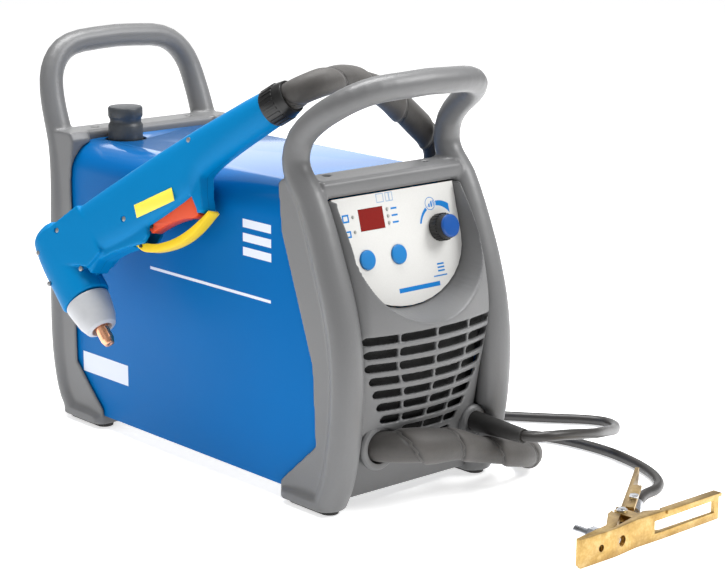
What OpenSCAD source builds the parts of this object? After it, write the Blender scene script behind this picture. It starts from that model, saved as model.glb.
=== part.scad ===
// Portable plasma cutter: inverter power source, hand torch on its sleeved lead, earth cable and clamp.
// Front faces -Y, right hand side is +X, up is +Z. The origin is on the floor under the middle of the case.

/* [Case] */
// Width of the sheet-metal cover
cover_w = 190; // [186:0.5:194]
// Height of the cover's top face above the floor
cover_top = 277; // [274:1:279]
// Height of the cover's lower edge above the floor
cover_bottom = 13; // [12:0.5:16]
// Radius of the cover's two long top edges
cover_r = 28; // [22:1:32]
// Thickness of the cover's sheet
sheet = 1.5; // [1:0.1:2]

/* [End frames] */
// Distance from the centre plane to the middle of each post
post_x = 87; // [86:0.5:88]
// Half the width of a post
post_half_w = 15.5; // [14:0.5:16]
// Half the depth of a post
post_half_d = 13.5; // [12:0.5:14]
// Radius of the handle bars
bar_r = 11.5; // [10:0.5:12.5]
// Height of a rubber foot
foot_h = 4; // [3:0.5:5]

/* [Control panel] */
// Angle by which the panel leans back
panel_tilt = 15; // [10:1:18]
// Width of the panel
panel_w = 141; // [138:0.5:142]
// Height of the panel along its slope
panel_h = 101; // [96:1:102]
// Diameter of the current knob's base
knob_d = 23.5; // [20:0.5:25]
// Diameter of the two panel buttons
button_d = 17; // [15:0.5:18]
// Travel of the panel buttons
button_travel = 0.8; // [0.5:0.1:1]

/* [Torch] */
// Thickness of the torch grip, shell to shell
grip_w = 34; // [32:1:36]
// Angle between the torch's grip and its head
head_angle = 77; // [72:1:82]
// Diameter of the sleeved torch lead
lead_d = 26; // [24:1:27]

/* [Earth cable] */
// Diameter of the earth cable
earth_d = 9.5; // [9:0.1:10]

/* [Hidden] */

$fn = 48;
side_x = cover_w / 2;
handle_z = 366;
knob_ribs = 24;
shaft_d = 6;
gap = 0.3;

// Edges of the cover as seen from the side, [y, z]: the front one leans back above its middle.
cover_front = [
    [-178, 13], [-193, 26], [-201, 41], [-206, 64], [-209, 92], [-209.5, 115],
    [-207.5, 142], [-203, 166], [-195, 188], [-184, 213], [-170, 238], [-158, 260], [-150, 280]
];
cover_rear = [
    [169, 280], [173, 256], [175, 229], [178, 189], [182, 148], [187, 117], [188, 87],
    [187, 62], [182, 37], [172, 24], [160, 13]
];

// Middle line of the left post and half of the handle, front and rear: [x, y, z].
front_path = [
    [-87, -200, 8], [-87, -209, 25], [-87, -216, 50], [-87, -221, 80], [-87, -223, 110],
    [-87, -222, 138], [-87, -218, 165], [-87, -211, 190], [-87.5, -202, 215],
    [-87.5, -190, 245], [-87.5, -177, 271], [-87.5, -163, 287], [-87.5, -157.5, 302],
    [-86, -163, 321], [-83, -178, 336], [-79, -196, 348], [-69, -211, 358],
    [-52, -220, 364], [-26, -225, handle_z], [0, -226, handle_z + 1]
];
rear_path = [
    [-87, 176, 8], [-87, 189, 22], [-87, 196, 42], [-87, 200, 66], [-87, 201, 95],
    [-87, 200, 130], [-87, 198, 170], [-87, 196, 210], [-87, 196.5, 245], [-87, 200, 272],
    [-87, 207, 293], [-86, 214, 312], [-83, 220, 331], [-76, 224, 346], [-63, 227, 358],
    [-42, 228, 364], [0, 228.5, handle_z]
];

// Front face of the fascia at its sides, [height, y], and how far its middle bulges, [height, mm].
fascia_y = [
    [9, -203], [60, -212.5], [105, -221], [130, -226.5], [155, -232], [190, -228], [217, -221],
    [240, -211], [268, -194]
];
fascia_bulge = [
    [9, 0], [60, 9.5], [105, 15.5], [130, 14.5], [155, 11], [190, 14], [217, 17.5], [240, 20], [268, 20]
];
fascia_half = 71.3;
vent_rows = 9;
vent_pitch = 12.4;
vent_top = 154.5;

panel_mid = [0, -196, 220];
button_at = [[-42, -5], [-6, -5]];
knob_at = [45, 11.5];
display_at = [-29.5, 29];
light_at = [[-10.5, 35], [-10.5, 29], [-10.5, 23], [-50, 33], [-50, 20]];

port_at = [-46, 55];
gland_at = [65, 57];
regulator_at = [-45, 151];
fan_at = [20, 90];
inlet_at = [-45, 222];
switch_at = [45, 215];

// The torch lies across the cover's left edge: middle of its elbow, its tail and its tip.
torch_elbow = [-156.5, 104, 195.5];
torch_tail = [-74.5, -134, 350.5];
torch_tip = [-158.5, 20, 116.5];

// Torch lead: from the front port round the right front corner, coiled behind on the floor,
// then up the right side, over the cover and into the torch.
lead_coil_at = [270, 235];
lead_coil_r = 150;
lead_route = [
    [-46, -196, 55], [-44, -217, 55], [-33, -233, 56], [-12, -241, 55], [14, -243, 50],
    [42, -245, 42], [68, -249, 34.5], [94, -249, 27], [117, -239, 19.5], [131, -220, 14.5],
    [137, -196, 13], [136, -160, 13], [131, -110, 13], [128, -50, 13], [127, 20, 13],
    [129, 90, 13], [132, 160, 13], [133, 200, 13], [133, 235, 13]
];
lead_end_route = [
    [270, 98, 39], [230, 97, 39], [190, 92, 41], [155, 78, 50], [128, 54, 74], [115, 24, 108],
    [111, -12, 150], [110, -50, 192], [110, -88, 230], [109, -114, 256], [104, -127, 277],
    [93, -131, 296], [76, -131, 312], [57, -133, 327.5], [35, -135.5, 342], [12, -139, 352.5],
    [-12, -143, 360.5], [-36, -149, 364.5], [-56, -152, 363], [-68.5, -145, 357.5], [-73.9, -136, 351.8],
    [-79.9, -118.5, 340.3]
];

// Earth cable: out of its sleeve in a long loop, coiled behind on the floor, then out to the clamp.
earth_coil_at = [213, -5];
earth_coil_r = 70;
earth_route = [
    [65, -205, 57], [65, -232, 57], [65, -258, 57], [65, -276, 57], [66, -291, 58], [75, -302, 59.5],
    [91, -306, 58.5], [113, -305, 54.5], [138, -299, 48.5], [160, -288, 42.5], [186, -272, 34.5],
    [213, -254, 25.5], [240, -233, 16], [262, -214, 10], [274, -198, 6.5], [276, -184, 5.3],
    [268, -168, 5], [253, -151, 5], [235, -130, 5], [217, -108, 5], [200, -87, 5], [183, -68, 5],
    [167, -51, 5]
];
earth_end_route = [
    [213, -70.3, 14.3], [188, -72, 15], [166, -82, 11], [153, -103, 5.5], [156, -128, 5],
    [172, -149, 5], [190, -168, 5], [202, -192, 5], [208, -222, 5], [209, -255, 5],
    [203, -290, 5], [192, -320, 5], [176, -343, 5.5], [155, -358, 8], [132, -366, 10.5],
    [116, -373.5, 11.5], [101.4, -382.4, 11.5]
];

clamp_pivot = [58, -404];
clamp_h = 23;
clamp_lever = 35;

function unit(v) = v / norm(v);
function flip_x(p) = [-p.x, p.y, p.z];

// A smooth line through every point of a hand-placed route.
function spline(p, steps) = concat(
    [for (i = [0:len(p) - 2]) for (k = [0:steps - 1])
        let (t = k / steps, a = p[max(i - 1, 0)], b = p[i], c = p[i + 1], d = p[min(i + 2, len(p) - 1)])
        0.5 * (2 * b + (c - a) * t + (2 * a - 5 * b + 4 * c - d) * t * t + (3 * b - a - 3 * c
            + d) * t * t * t)],
    [p[len(p) - 1]]
);

// Heading of a route at point i, and a direction across it that doesn't twist along the way.
function heading(p, i) = unit(p[min(i + 1, len(p) - 1)] - p[max(i - 1, 0)]);
function across(p, first, i = 0, done = []) = i == len(p) ? done :
    let (t = heading(p, i), s = i == 0 ? first : done[i - 1])
    across(p, first, i + 1, concat(done, [unit(s - (s * t) * t)]));

// A closed tube along a route. wide and deep give the half sizes of its oval section at each point.
module sweep(path, first, wide, deep, sides) {
    n = len(path);
    u = across(path, first);
    points = [for (i = [0:n - 1]) for (k = [0:sides - 1])
        let (a = 360 * k / sides, w = cross(heading(path, i), u[i]))
        path[i] + u[i] * wide[i] * cos(a) + w * deep[i] * sin(a)];
    walls = [for (i = [0:n - 2]) for (k = [0:sides - 1])
        let (a = i * sides + k, b = i * sides + (k + 1) % sides)
        each [[a, a + sides, b + sides], [a, b + sides, b]]];
    ends = [[for (k = [0:sides - 1]) k], [for (k = [sides - 1:-1:0]) (n - 1) * sides + k]];
    polyhedron(points, concat(walls, ends), convexity = 10);
}

module cord(route, steps, d, sides) {
    path = spline(route, steps);
    r = [for (p = path) d / 2];
    first = unit(cross(heading(path, 0), [0.1, 0.2, 1]));
    sweep(path, first, r, r, sides);
}

// Both posts and the handle bar between them as one bent tube.
module frame_loop(half_path) {
    half = spline(half_path, 2);
    path = concat(half, [for (i = [len(half) - 2:-1:0]) flip_x(half[i])]);
    wide = [for (p = path) lookup(p.z, [[200, post_half_w], [300, bar_r + 0.5], [330, bar_r]])];
    deep = [for (p = path) lookup(p.z, [[200, post_half_d], [300, bar_r + 0.5], [330, bar_r]])];
    sweep(path, [-1, 0, 0], wide, deep, 20);
}

module side_extrude(x0, x1) {
    translate([x0, 0, 0])
        rotate([90, 0, 90])
            linear_extrude(x1 - x0)
                children();
}

module arch_2d(grow) {
    r = cover_r + grow;
    translate([-side_x - grow, -10])
        square([cover_w + 2 * grow, cover_top - cover_r + 10]);
    for (s = [-1, 1])
        translate([s * (side_x - cover_r), cover_top - cover_r])
            circle(r);
    translate([-side_x + cover_r, 0])
        square([cover_w - 2 * cover_r, cover_top + grow]);
}

// The solid space that the cover encloses, larger by grow.
module case_space(grow) {
    intersection() {
        translate([0, 200, 0])
            rotate([90, 0, 0])
                linear_extrude(420)
                    arch_2d(grow);
        side_extrude(-110, 110)
            polygon(concat(cover_front, cover_rear));
    }
}

module cover() {
    color("dodgerblue")
        difference() {
            case_space(0);
            translate([0, 220, 0])
                rotate([90, 0, 0])
                    linear_extrude(460)
                        arch_2d(-sheet);
            translate([regulator_at.x, regulator_at.y, cover_top - 10])
                cylinder(d = 40, h = 20);
        }
}

module base_tray() {
    inner = side_x - sheet - gap;
    color("silver")
        difference() {
            translate([-inner, -186, cover_bottom + 0.5])
                cube([2 * inner, 343, 24]);
            translate([-inner + sheet, -187, cover_bottom + 0.5 + sheet])
                cube([2 * inner - 2 * sheet, 350, 30]);
            for (x = [-50, 0, 50], y = [-120:30:60])
                translate([x - 15, y, cover_bottom - 1])
                    cube([30, 6, 4]);
            translate([-100, -190, cover_bottom - 1])
                cube([200, 12, 9]);
        }
}

module below_feet() {
    translate([-150, -300, foot_h - 30])
        cube([300, 600, 30]);
}

module foot_block(y0, y1, toe) {
    r = 9;
    hull() {
        for (x = [-post_half_w + r, post_half_w - r])
            for (y = [y0 + r, y1 - r])
                translate([x, y, foot_h])
                    cylinder(r = r, h = 8, $fn = 32);
        translate([-8, toe, foot_h + 12])
            cube([16, 12, 6]);
    }
}

module crossbar(y0, y1, z0) {
    r = 5;
    hull() {
        for (y = [y0 + r, y1 - r], z = [z0 + r, 285 - r])
            translate([-80, y, z])
                rotate([0, 90, 0])
                    cylinder(r = r, h = 160, $fn = 32);
    }
}

module front_frame() {
    color("dimgray")
        difference() {
            union() {
                frame_loop(front_path);
                crossbar(-186, -148, 269.5);
                for (s = [-1, 1])
                    translate([s * post_x, 0, 0]) {
                        foot_block(-211, -147, -206);
                        side_extrude(-11, 11)
                            polygon(concat(
                                [for (i = [0:11]) [front_path[i].y, front_path[i].z]],
                                [[-150, 285], [-146, 281], [-150, 240], [-190, 130], [-194, 60],
                                [-147, 19], [-147, 10]]
                            ));
                    }
            }
            case_space(gap);
            below_feet();
            translate([gland_at.x, -195, gland_at.y])
                rotate([90, 0, 0])
                    cylinder(d = 29.8, h = 60);
            for (s = [-1, 1])
                translate([s * 57, -161.5, 270])
                    cylinder(d = 7, h = 20);
        }
}

module rear_frame() {
    color("dimgray")
        difference() {
            union() {
                frame_loop(rear_path);
                crossbar(170, 205, 262);
                translate([-80, 176, 14])
                    cube([160, 14, 16]);
                for (s = [-1, 1])
                    translate([s * post_x, 0, 0]) {
                        foot_block(126, 192, 176);
                        side_extrude(-11, 11)
                            polygon(concat(
                                [for (i = [0:9]) [rear_path[i].y, rear_path[i].z]],
                                [[204, 283], [190, 285], [168, 285], [164, 278], [170, 240],
                                [168, 60], [126, 19], [126, 10]]
                            ));
                    }
            }
            case_space(gap);
            below_feet();
            for (s = [-1, 1])
                translate([s * 57, 186, 270])
                    cylinder(d = 7, h = 20);
        }
}

module fascia_sheet(depth) {
    columns = 16;
    zs = [9, 30, 55, 80, 105, 130, 150, 165, 185, 215, 240, 268];
    rows = len(zs);
    function at(i, j, d) =
        let (x = fascia_half * (2 * i / columns - 1), z = zs[j])
        [x, lookup(z, fascia_y) - lookup(z, fascia_bulge) * (1 - pow(x / fascia_half, 2)) + d, z];
    count = (columns + 1) * rows;
    function id(i, j, back) = back * count + j * (columns + 1) + i;
    points = concat(
        [for (j = [0:rows - 1], i = [0:columns]) at(i, j, 0)],
        [for (j = [0:rows - 1], i = [0:columns]) at(i, j, depth)]
    );
    function quad(a, b, c, d) = [[a, b, c], [a, c, d]];
    faces = concat(
        [for (i = [0:columns - 1], j = [0:rows - 2])
            each quad(id(i, j, 0), id(i, j + 1, 0), id(i + 1, j + 1, 0), id(i + 1, j, 0))],
        [for (i = [0:columns - 1], j = [0:rows - 2])
            each quad(id(i, j, 1), id(i + 1, j, 1), id(i + 1, j + 1, 1), id(i, j + 1, 1))],
        [for (i = [0:columns - 1]) each quad(id(i, 0, 0), id(i + 1, 0, 0), id(i + 1, 0, 1), id(i, 0, 1))],
        [for (i = [0:columns - 1])
            each quad(id(i, rows - 1, 0), id(i, rows - 1, 1), id(i + 1, rows - 1, 1), id(i
                + 1, rows - 1, 0))],
        [for (j = [0:rows - 2]) each quad(id(0, j, 0), id(0, j, 1), id(0, j + 1, 1), id(0, j + 1, 0))],
        [for (j = [0:rows - 2])
            each quad(id(columns, j, 0), id(columns, j + 1, 0), id(columns, j + 1, 1), id(columns, j, 1))]
    );
    polyhedron(points, faces, convexity = 6);
}

// Children stand on the control panel: x across, y up the slope, z out of its face.
module on_panel() {
    translate(panel_mid)
        rotate([90 - panel_tilt, 0, 0])
            children();
}

module shield_2d(grow) {
    half = panel_w / 2;
    bottom = -panel_h / 2;
    round_h = 53;
    straight = bottom + round_h;
    lower = [for (a = [180:10:360]) [(half + grow) * cos(a), straight + (round_h + grow) * sin(a)]];
    polygon(concat(lower, [[half + grow, panel_h / 2 + grow], [-half - grow, panel_h / 2 + grow]]));
}

// Recess in front of the panel: it widens a little at its sides and more below.
module recess_2d(grow) {
    half = panel_w / 2 + 2.5;
    polygon(concat(
        [for (a = [180:10:360]) [(half + grow) * cos(a), 2.5 + (71.5 + grow) * sin(a)]],
        [[half + grow, panel_h / 2 + grow + 2], [-half - grow, panel_h / 2 + grow + 2]]
    ));
}

module funnel(grow) {
    hull() {
        translate([0, 0, -3])
            linear_extrude(0.1)
                shield_2d(grow);
        translate([0, 0, 34])
            linear_extrude(0.1)
                recess_2d(grow);
    }
    translate([0, 0, 34])
        linear_extrude(30)
            recess_2d(grow);
}

module vent_rows_cut() {
    for (row = [0:vent_rows - 1]) {
        z = vent_top - row * vent_pitch;
        half = lookup(z, [[55, 36], [105, 60], [150, 69]]);
        reach = row > 6 ? min(half, 22) : half;
        segment = (reach + half) / 4;
        for (k = [0:3])
            translate([-reach + segment * k + 0.8, -255, z - 3.7])
                cube([segment - 1.6, 65, 7.4]);
    }
}

module front_fascia() {
    color("dimgray")
        difference() {
            union() {
                fascia_sheet(3.5);
                intersection() {
                    on_panel()
                        funnel(3.5);
                    fascia_sheet(60);
                    translate([-fascia_half, -255, 120])
                        cube([2 * fascia_half, 105, 148]);
                }
            }
            on_panel()
                funnel(0.2);
            vent_rows_cut();
            translate([port_at.x, -190, port_at.y])
                rotate([90, 0, 0])
                    cylinder(d = 34, h = 50);
            translate([gland_at.x, -190, gland_at.y])
                rotate([90, 0, 0])
                    cylinder(d = 24, h = 50);
        }
}

module rear_panel() {
    color("silver")
        difference() {
            translate([-side_x + sheet + 1, 164, 20])
                cube([cover_w - 2 * sheet - 2, sheet, cover_top - 52]);
            translate([fan_at.x, 180, fan_at.y])
                rotate([90, 0, 0])
                    cylinder(d = 112, h = 30);
            translate([switch_at.x, 180, switch_at.y])
                rotate([90, 0, 0])
                    cylinder(d = 22, h = 30);
            translate([inlet_at.x, 180, inlet_at.y])
                rotate([90, 0, 0])
                    cylinder(d = 14, h = 30);
            translate([-62, 180, 60])
                rotate([90, 0, 0])
                    cylinder(d = 20, h = 30);
        }
}

module foot_pads(y0, y1) {
    for (s = [-1, 1])
        color([0.08, 0.08, 0.08])
            hull()
                for (y = [y0 + 9, y1 - 9])
                    translate([s * post_x, y, 0])
                        cylinder(r1 = 8, r2 = 9, h = foot_h, $fn = 32);
}

module rubber_feet() {
    foot_pads(-209, -150);
    foot_pads(129, 190);
}

module frame_screws() {
    color("gray")
        for (x = [-57, 57], y = [-161.5, 186])
            translate([x, y, 276]) {
                cylinder(d = 4, h = 4);
                difference() {
                    translate([0, 0, 4])
                        cylinder(d = 6.6, h = 3);
                    translate([0, 0, 5.5])
                        cylinder(d = 3, h = 3, $fn = 6);
                }
            }
}

module control_panel() {
    color("whitesmoke")
        on_panel()
            difference() {
                translate([0, 0, -2.5])
                    linear_extrude(2.5)
                        shield_2d(-0.3);
                translate([display_at.x - 14, display_at.y - 9.5, -3])
                    cube([28, 19, 4]);
                for (p = button_at)
                    translate([p.x, p.y, -3])
                        cylinder(d = button_d + 0.4, h = 4);
                for (p = light_at)
                    translate([p.x, p.y, -3])
                        cylinder(d = 3.2, h = 4);
                translate([knob_at.x, knob_at.y, -3])
                    cylinder(d = 8, h = 4);
            }
}

module display_window() {
    color("darkred")
        on_panel() {
            translate([display_at.x - 13.8, display_at.y - 9.3, -2])
                cube([27.6, 18.6, 2]);
            translate([display_at.x - 16, display_at.y - 12, -8])
                cube([32, 24, 5.4]);
        }
}

module indicator_lights() {
    color("lightgray")
        on_panel()
            for (p = light_at)
                translate([p.x, p.y, -8.5]) {
                    cylinder(d = 3, h = 8.3);
                    translate([0, 0, 8.3])
                        sphere(d = 2.9);
                }
}

module control_board() {
    color("darkgreen")
        on_panel()
            difference() {
                translate([-64, -36, -11])
                    cube([128, 78, 1.6]);
                translate([knob_at.x, knob_at.y, -12])
                    cylinder(d = 10, h = 4);
            }
}

module potentiometer() {
    color("silver")
        on_panel()
            translate([knob_at.x, knob_at.y, 0])
                difference() {
                    union() {
                        translate([0, 0, -19])
                            cylinder(d = 16, h = 7.5);
                        translate([0, 0, -12])
                            cylinder(d = 7.4, h = 11);
                    }
                    translate([0, 0, -15])
                        cylinder(d = shaft_d + 0.12, h = 20);
                }
}

module current_knob() {
    color("black")
        on_panel()
            translate([knob_at.x, knob_at.y, 0.6])
                union() {
                    cylinder(d = knob_d, h = 5);
                    translate([0, 0, 5])
                        cylinder(d1 = knob_d, d2 = knob_d - 3, h = 9);
                    for (a = [0:360 / knob_ribs:359])
                        rotate(a)
                            translate([knob_d / 2 - 0.4, -0.6, 0.5])
                                cube([0.9, 1.2, 8]);
                    translate([0, 0, -14.6])
                        cylinder(d = shaft_d, h = 15);
                }
}

module current_knob_cap() {
    color("royalblue")
        on_panel()
            translate([knob_at.x, knob_at.y, 14.6]) {
                cylinder(d = knob_d - 3.4, h = 1.6);
                translate([0, 0, 1.6])
                    cylinder(d1 = knob_d - 3.4, d2 = knob_d - 5.5, h = 0.9);
            }
}

module button(at) {
    color("deepskyblue")
        on_panel()
            translate([at.x, at.y, 0]) {
                translate([0, 0, -4])
                    cylinder(d = button_d, h = 5.2);
                translate([0, 0, 1.2])
                    cylinder(d1 = button_d, d2 = button_d - 1.6, h = 0.6);
                translate([0, 0, -8.2])
                    cylinder(d = 4, h = 4.2);
            }
}

module mode_button() { button(button_at[0]); }

module gas_button() { button(button_at[1]); }

// Children point out of the front face along -Y, from the face at the given place.
module on_front(at, y) {
    translate([at.x, y, at.y])
        rotate([90, 0, 0])
            children();
}

module torch_port() {
    color("dimgray")
        on_front(port_at, -203)
            difference() {
                union() {
                    cylinder(d = 33.6, h = 12);
                    translate([0, 0, 12])
                        cylinder(d = 42, h = 3);
                    translate([0, 0, 15])
                        cylinder(d1 = 42, d2 = 38, h = 2);
                }
                translate([0, 0, -1])
                    cylinder(d = 29.5, h = 20);
            }
}

module earth_gland() {
    color("gray")
        on_front(gland_at, -203)
            difference() {
                union() {
                    cylinder(d = 23.6, h = 12);
                    translate([0, 0, 12])
                        cylinder(d = 29, h = 5);
                    translate([0, 0, 17])
                        cylinder(d1 = 29, d2 = 25, h = 2);
                }
                translate([0, 0, -1])
                    cylinder(d = 18, h = 22);
            }
}

module earth_sleeve() {
    color([0.12, 0.12, 0.12])
        on_front(gland_at, -203)
            difference() {
                union() {
                    cylinder(d = 17.8, h = 24);
                    translate([0, 0, 24])
                        cylinder(d1 = 17.8, d2 = 13, h = 56);
                }
                translate([0, 0, -1])
                    cylinder(d = earth_d + 0.1, h = 90);
            }
}

module earth_cable() {
    color([0.14, 0.13, 0.13])
        cord(earth_route, 2, earth_d, 8);
}

module coil(at, outer, turns_wide, layers, d) {
    r = d / 2;
    inner = outer - turns_wide * d;
    translate([at.x, at.y, 0])
        rotate_extrude($fn = 96)
            hull()
                for (x = [inner + r, outer - r], y = [r, layers * d - r])
                    translate([x, y])
                        circle(r, $fn = 24);
}

module earth_coil() {
    color([0.14, 0.13, 0.13])
        coil(earth_coil_at, earth_coil_r, 3, 2, earth_d);
}

module earth_cable_end() {
    color([0.14, 0.13, 0.13])
        cord(earth_end_route, 2, earth_d, 8);
}

module torch_lead() {
    color([0.25, 0.23, 0.21])
        cord(lead_route, 2, lead_d, 12);
}

module torch_lead_coil() {
    color([0.25, 0.23, 0.21])
        coil(lead_coil_at, lead_coil_r, 2, 2, lead_d);
}

module torch_lead_end() {
    color([0.25, 0.23, 0.21])
        cord(lead_end_route, 2, lead_d, 12);
}

// Earth clamp, lying on its side with its pivot upright. x runs from the jaws to the handles.
module at_clamp() {
    translate([clamp_pivot.x, clamp_pivot.y, 0])
        children();
}

module clamp_fixed_jaw() {
    color("goldenrod")
        at_clamp()
            difference() {
                union() {
                    linear_extrude(clamp_h)
                        polygon([
                            [-78, -24.5], [-78, -21], [-36, -15], [-14, 3], [4, 9], [12, 5],
                            [-6, -4], [-30, -21], [-42, -24.5]
                        ]);
                    rotate(clamp_lever)
                        translate([0, -1.4, 0.5])
                            cube([118, 3.4, clamp_h - 1]);
                    rotate(clamp_lever)
                        for (z = [0.5, clamp_h - 3.5])
                            translate([11, -9, z])
                                cube([59, 9, 3]);
                    for (z = [5.4, 15.6])
                        translate([0, 0, z])
                            cylinder(d = 14, h = 2.4);
                }
                for (z = [-1, 18.1])
                    translate([0, 0, z])
                        cylinder(d = 16.5, h = 6.3);
                translate([0, 0, 7.8])
                    cylinder(d = 16.5, h = 7.8);
                translate([0, 0, -1])
                    cylinder(d = 6.16, h = 40);
                translate([-46, 10, 15])
                    rotate([90, 0, 0])
                        cylinder(d = 8, h = 60);
                rotate(clamp_lever)
                    translate([36, -6, 12])
                        cylinder(d = 4, h = 20);
            }
}

module clamp_moving_jaw() {
    color("goldenrod")
        at_clamp()
            difference() {
                union() {
                    linear_extrude(clamp_h + 1)
                        polygon([
                            [-80, -28.5], [-80, -25], [-38, -25], [-22, -21.5], [10, -14],
                            [24, -21], [96, -21], [96, -24.5], [20, -26], [-10, -25.5],
                            [-38, -28.5]
                        ]);
                    for (z = [1, 18.4])
                        translate([0, 0, z]) {
                            cylinder(d = 13, h = 4.1);
                            translate([-6, -24, 0])
                                cube([12, 24, 4.1]);
                        }
                    translate([26, -27.5, clamp_h - 2])
                        cube([70, 9, 3]);
                }
                translate([0, 0, -1])
                    cylinder(d = 6, h = 40);
                translate([12, -40, 6.5])
                    cube([78, 24, 11]);
                for (x = [-56, -30])
                    translate([x, -20, 11.5])
                        rotate([90, 0, 0])
                            cylinder(d = x == -56 ? 6 : 9, h = 20);
                translate([-30, -40, 9])
                    rotate([-90, 0, 0])
                        cylinder(d = 5, h = 30);
            }
}

module clamp_pin() {
    color("silver")
        at_clamp() {
            translate([0, 0, 0.4])
                cylinder(d = 6, h = clamp_h + 2);
            translate([0, 0, clamp_h - 0.4])
                cylinder(d = 9, h = 1.6);
        }
}

module clamp_spring() {
    color("saddlebrown")
        at_clamp()
            translate([0, 0, 8])
                difference() {
                    cylinder(d = 15, h = 7.4);
                    translate([0, 0, -1])
                        cylinder(d = 8, h = 10);
                }
}

module clamp_lug_bolt() {
    color("lightsteelblue")
        at_clamp() {
            translate([-46, 9, 15])
                rotate([90, 0, 0])
                    cylinder(d = 8, h = 31);
            translate([-46, -7.4, 15])
                rotate([90, 0, 0])
                    cylinder(d = 15, h = 6.5, $fn = 6);
            rotate(clamp_lever) {
                difference() {
                    translate([26, -7.2, 11.5])
                        rotate([0, 90, 0])
                            cylinder(d = 11.4, h = 24);
                    translate([34, -7.2, 11.5])
                        rotate([0, 90, 0])
                            cylinder(d = earth_d + 0.1, h = 24);
                }
                translate([36, -6, 17.6])
                    cylinder(d = 4, h = 5.5);
                translate([36, -6, 22.5])
                    cylinder(d = 8.5, h = 2.8, $fn = 6);
            }
        }
}

// Children stand in the torch's own frame: x from elbow to tail, y towards the head, z away from its
// left shell.
module in_torch() {
    u = unit(torch_tail - torch_elbow);
    h = torch_tip - torch_elbow;
    v = unit(h - (h * u) * u);
    w = cross(u, v);
    multmatrix([
        [u.x, v.x, w.x, torch_elbow.x],
        [u.y, v.y, w.y, torch_elbow.y],
        [u.z, v.z, w.z, torch_elbow.z]
    ])
        children();
}

// Children stand along the torch's head, z from the elbow to the tip.
module along_head() {
    rotate([0, 0, head_angle])
        rotate([0, 90, 0])
            children();
}

module torch_outline() {
    polygon([
        [274, -17.5], [190, -18.5], [110, -18], [45, -16], [10, -12], [-10, -8], [-20, 0], [-23, 12],
        [-20, 28], [-8, 67], [36.5, 57.5], [39, 44], [46, 36], [66, 38], [94, 44], [108, 46],
        [114, 38], [172, 34], [173, 51], [181, 52], [185, 38], [192, 26], [214, 20.5], [274, 18]
    ]);
}

module torch_solid(w) {
    linear_extrude(w * 0.62)
        torch_outline();
    linear_extrude(w - 3)
        offset(-4)
            torch_outline();
    linear_extrude(w)
        offset(-4)
            intersection() {
                torch_outline();
                union() {
                    translate([-40, -30])
                        square([330, 52]);
                    translate([-40, -30])
                        square([80, 110]);
                }
            }
}

module torch_cavity() {
    translate([110, 0, 0])
        rotate([0, 90, 0])
            cylinder(d = 24, h = 170);
    along_head()
        translate([0, 0, -14])
            cylinder(d = 30, h = 90);
    translate([109, -2, -7.8])
        cube([68, 64, 15.6]);
    translate([86, 30, -7.8])
        cube([24, 30, 15.6]);
}

module torch_shell_left() {
    color("dodgerblue")
        in_torch()
            difference() {
                mirror([0, 0, 1])
                    torch_solid(grip_w / 2);
                torch_cavity();
                torch_screw_places()
                    cylinder(d = 4.6, h = 3);
            }
}

module torch_shell_right() {
    color("dodgerblue")
        in_torch()
            difference() {
                torch_solid(grip_w / 2);
                torch_cavity();
            }
}

module torch_screw_places() {
    for (p = [[18, -5], [-12, 4], [32, 40], [-10, 36], [97, 21], [192, -10]])
        translate([p.x, p.y, -grip_w / 2 - 0.2])
            children();
}

module torch_screws() {
    color("silver")
        in_torch()
            torch_screw_places()
                translate([0, 0, 0.9])
                    cylinder(d = 4.4, h = 1.9);
}

module torch_label() {
    color("gold")
        in_torch()
            translate([136, 24, -grip_w / 2 - 0.5])
                rotate(6)
                    translate([-23, -6, 0])
                        cube([46, 12, 0.5]);
}

module torch_collar() {
    color([0.1, 0.1, 0.1])
        in_torch()
            translate([274.2, 0, 0])
                rotate([0, 90, 0])
                    difference() {
                        union() {
                            cylinder(d = 33, h = 16);
                            translate([0, 0, 16])
                                cylinder(d1 = 33, d2 = 29.5, h = 8);
                            for (a = [0:15:359])
                                rotate(a)
                                    translate([16.1, -1.1, 1])
                                        cube([1.2, 2.2, 14]);
                        }
                        translate([0, 0, -1])
                            cylinder(d = lead_d + 0.2, h = 30);
                    }
}

module torch_head() {
    color([0.75, 0.72, 0.66])
        in_torch()
            along_head()
                difference() {
                    union() {
                        translate([0, 0, -12])
                            cylinder(d = 29.6, h = 70);
                        translate([0, 0, 58])
                            cylinder(d = 24, h = 20);
                    }
                    translate([0, 0, 40])
                        cylinder(d = 12, h = 50);
                }
}

module electrode() {
    color("peru")
        in_torch()
            along_head()
                translate([0, 0, 42]) {
                    cylinder(d = 8, h = 46);
                    translate([0, 0, 46])
                        cylinder(d1 = 8, d2 = 5, h = 6);
                }
}

module cutting_tip() {
    color("chocolate")
        in_torch()
            along_head()
                translate([0, 0, 82])
                    rotate_extrude()
                        polygon([
                            [4.6, 0], [9.5, 0], [9.5, 8], [6.2, 13], [6.2, 27], [4.4, 32],
                            [0.6, 32], [0.6, 24], [4.6, 20]
                        ]);
}

module shield_cup() {
    color("darkgray")
        in_torch()
            along_head()
                translate([0, 0, 66])
                    rotate_extrude()
                        polygon([
                            [12.2, 0], [20.8, 0], [20.8, 3], [19, 14], [17.5, 22], [14, 30],
                            [10.5, 31.5], [9.7, 31.5], [9.7, 16], [12.2, 12]
                        ]);
}

module torch_trigger() {
    color("orangered")
        in_torch()
            translate([0, 0, -6.5])
                difference() {
                    union() {
                        linear_extrude(13)
                            polygon([
                                [113, 30], [170, 20], [170.5, 51], [164, 51.5], [154, 47],
                                [142, 44.5], [128, 43], [115, 43]
                            ]);
                        translate([117, 37, 0])
                            cylinder(d = 9, h = 13);
                    }
                    translate([117, 37, -1])
                        cylinder(d = 4, h = 20);
                }
}

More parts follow.
